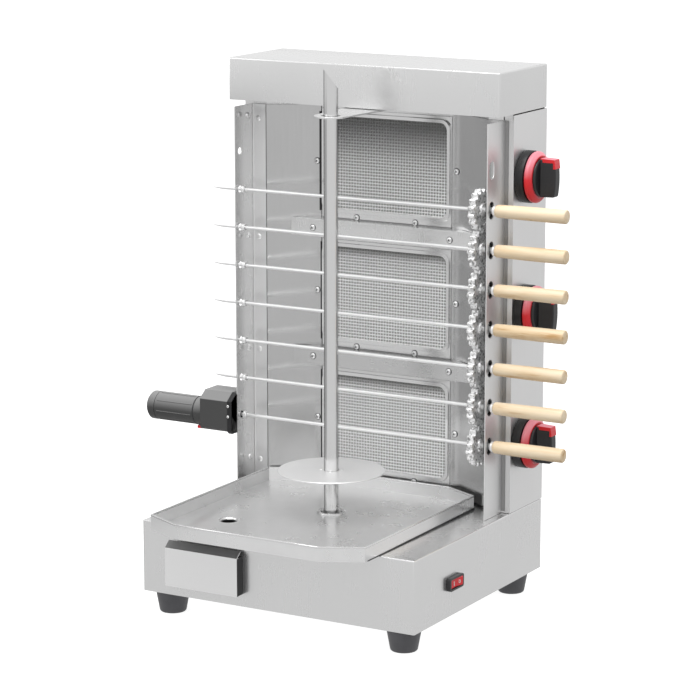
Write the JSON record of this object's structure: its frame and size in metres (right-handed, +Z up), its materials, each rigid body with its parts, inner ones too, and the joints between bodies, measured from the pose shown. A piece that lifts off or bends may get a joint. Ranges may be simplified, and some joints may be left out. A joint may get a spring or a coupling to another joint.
{
  "type": "vertical rotisserie broiler",
  "caption": "Counter-top gas broiler with a motor-driven vertical spit over a drip tray, a bank of infrared burners and a row of geared skewers turned by a battery motor.",
  "frame": {"origin": "middle of the whole object's footprint box, on the surface that the feet stand on", "axes": "+X to the right of a person standing in front, +Y from the front to the back, +Z up"},
  "size_m": [0.547, 0.382, 0.6159],
  "materials": {
    "brushed_steel": "fine brushed stainless sheet, semi-bright",
    "polished_steel": "bright annealed stainless sheet, nearly mirror",
    "skewer_steel": "bright plated, cast gear and drawn rod",
    "handle_wood": "pale turned beech, smooth and dry",
    "burner_ceramic": "porous burner plaque",
    "aluminised_steel": "dull pressed and cast metal",
    "brass": "machined",
    "knob_plastic": "black grip bar on a red flared ring",
    "black_plastic": "satin moulded black",
    "red_plastic": "glossy red",
    "foot_rubber": "matt black moulded rubber"
  },
  "bodies": {
    "housing": {"base_housing": "brushed_steel", "base_bottom_plate": "brushed_steel", "column_left": "brushed_steel", "column_right": "brushed_steel", "rear_panel": "brushed_steel", "hood": "brushed_steel", "spit_bracket": "brushed_steel", "crossbar_upper": "brushed_steel", "crossbar_lower": "brushed_steel", "reflector_left": "polished_steel", "reflector_right": "polished_steel", "burner_frame_1": "polished_steel", "burner_frame_2": "polished_steel", "burner_frame_3": "polished_steel", "ceramic_tile_1": "burner_ceramic", "burner_body_1": "aluminised_steel", "gas_valve_1": "brass", "knob_bezel_1": "black_plastic", "ceramic_tile_2": "burner_ceramic", "burner_body_2": "aluminised_steel", "gas_valve_2": "brass", "knob_bezel_2": "black_plastic", "ceramic_tile_3": "burner_ceramic", "burner_body_3": "aluminised_steel", "gas_valve_3": "brass", "knob_bezel_3": "black_plastic", "gas_manifold": "brass", "spit_gearmotor": "aluminised_steel", "skewer_motor_housing": "black_plastic", "rocker_housing": "black_plastic", "power_inlet": "black_plastic", "foot_front_left": "foot_rubber", "foot_front_right": "foot_rubber", "foot_rear_left": "foot_rubber", "foot_rear_right": "foot_rubber"},
    "spit_drive": {"spit_coupler": "skewer_steel"},
    "spit": {"spit_tube": "polished_steel"},
    "disc": {"spit_disc": "brushed_steel"},
    "tray": {"drip_tray": "polished_steel"},
    "drawer": {"grease_drawer": "brushed_steel"},
    "rocker": {"rocker": "red_plastic"},
    "motor_switch": {"motor_switch": "red_plastic"},
    "battery_cap": {"battery_cap": "black_plastic"},
    "knob_1": {"knob_1": "knob_plastic"},
    "knob_2": {"knob_2": "knob_plastic"},
    "knob_3": {"knob_3": "knob_plastic"},
    "skewer_1": {"skewer_1": "skewer_steel", "skewer_handle_1": "handle_wood"},
    "skewer_2": {"skewer_2": "skewer_steel", "skewer_handle_2": "handle_wood"},
    "skewer_3": {"skewer_3": "skewer_steel", "skewer_handle_3": "handle_wood"},
    "skewer_4": {"skewer_4": "skewer_steel", "skewer_handle_4": "handle_wood"},
    "skewer_5": {"skewer_5": "skewer_steel", "skewer_handle_5": "handle_wood"},
    "skewer_6": {"skewer_6": "skewer_steel", "skewer_handle_6": "handle_wood"},
    "skewer_7": {"skewer_7": "skewer_steel", "skewer_handle_7": "handle_wood"}
  },
  "joints": [
    {"name": "spit_spin", "type": "hinge", "parent": "housing", "child": "spit_drive", "pos_m": [0.0165, -0.013, 0.106], "axis": [0, 0, 1], "continuous": true},
    {"name": "spit_lift", "type": "slide", "parent": "spit_drive", "child": "spit", "axis": [0, 0, 1], "range_m": [0, 0.03]},
    {"name": "disc_height", "type": "slide", "parent": "spit", "child": "disc", "axis": [0, 0, 1], "range_m": [0, 0.3]},
    {"name": "tray_lift", "type": "slide", "parent": "housing", "child": "tray", "axis": [0, 0, 1], "range_m": [0, 0.025]},
    {"name": "drawer_slide", "type": "slide", "parent": "housing", "child": "drawer", "axis": [0, -1, 0], "range_m": [0, 0.17]},
    {"name": "rocker_tilt", "type": "hinge", "parent": "housing", "child": "rocker", "pos_m": [0.1929, -0.047, 0.0635], "axis": [0, 0, 1], "range_deg": [0, 10]},
    {"name": "motor_switch_slide", "type": "slide", "parent": "housing", "child": "motor_switch", "axis": [1, 0, 0], "range_m": [0, 0.003]},
    {"name": "battery_cap_pull", "type": "slide", "parent": "housing", "child": "battery_cap", "axis": [-1, 0, 0], "range_m": [0, 0.03]},
    {"name": "knob_1_turn", "type": "hinge", "parent": "housing", "child": "knob_1", "pos_m": [0.2029, 0.119, 0.4934], "axis": [1, 0, 0], "range_deg": [0, 180]},
    {"name": "knob_2_turn", "type": "hinge", "parent": "housing", "child": "knob_2", "pos_m": [0.2029, 0.119, 0.3407], "axis": [1, 0, 0], "range_deg": [0, 180]},
    {"name": "knob_3_turn", "type": "hinge", "parent": "housing", "child": "knob_3", "pos_m": [0.2029, 0.119, 0.188], "axis": [1, 0, 0], "range_deg": [0, 180]},
    {"name": "skewer_7_spin", "type": "hinge", "parent": "housing", "child": "skewer_7", "pos_m": [0.1665, 0.058, 0.1937], "axis": [1, 0, 0], "continuous": true},
    {"name": "skewer_1_spin", "type": "hinge", "parent": "housing", "child": "skewer_1", "pos_m": [0.1665, 0.058, 0.4619], "axis": [1, 0, 0], "continuous": true},
    {"name": "skewer_2_spin", "type": "hinge", "parent": "housing", "child": "skewer_2", "pos_m": [0.1665, 0.058, 0.4172], "axis": [1, 0, 0], "continuous": true},
    {"name": "skewer_3_spin", "type": "hinge", "parent": "housing", "child": "skewer_3", "pos_m": [0.1665, 0.058, 0.3725], "axis": [1, 0, 0], "continuous": true},
    {"name": "skewer_4_spin", "type": "hinge", "parent": "housing", "child": "skewer_4", "pos_m": [0.1665, 0.058, 0.3278], "axis": [1, 0, 0], "continuous": true},
    {"name": "skewer_5_spin", "type": "hinge", "parent": "housing", "child": "skewer_5", "pos_m": [0.1665, 0.058, 0.2831], "axis": [1, 0, 0], "continuous": true},
    {"name": "skewer_6_spin", "type": "hinge", "parent": "housing", "child": "skewer_6", "pos_m": [0.1665, 0.058, 0.2384], "axis": [1, 0, 0], "continuous": true}
  ],
  "couplings": [
    {"joint": "skewer_1_spin", "follows": "skewer_7_spin", "ratio": 1},
    {"joint": "skewer_2_spin", "follows": "skewer_7_spin", "ratio": -1},
    {"joint": "skewer_3_spin", "follows": "skewer_7_spin", "ratio": 1},
    {"joint": "skewer_4_spin", "follows": "skewer_7_spin", "ratio": -1},
    {"joint": "skewer_5_spin", "follows": "skewer_7_spin", "ratio": 1},
    {"joint": "skewer_6_spin", "follows": "skewer_7_spin", "ratio": -1}
  ]
}
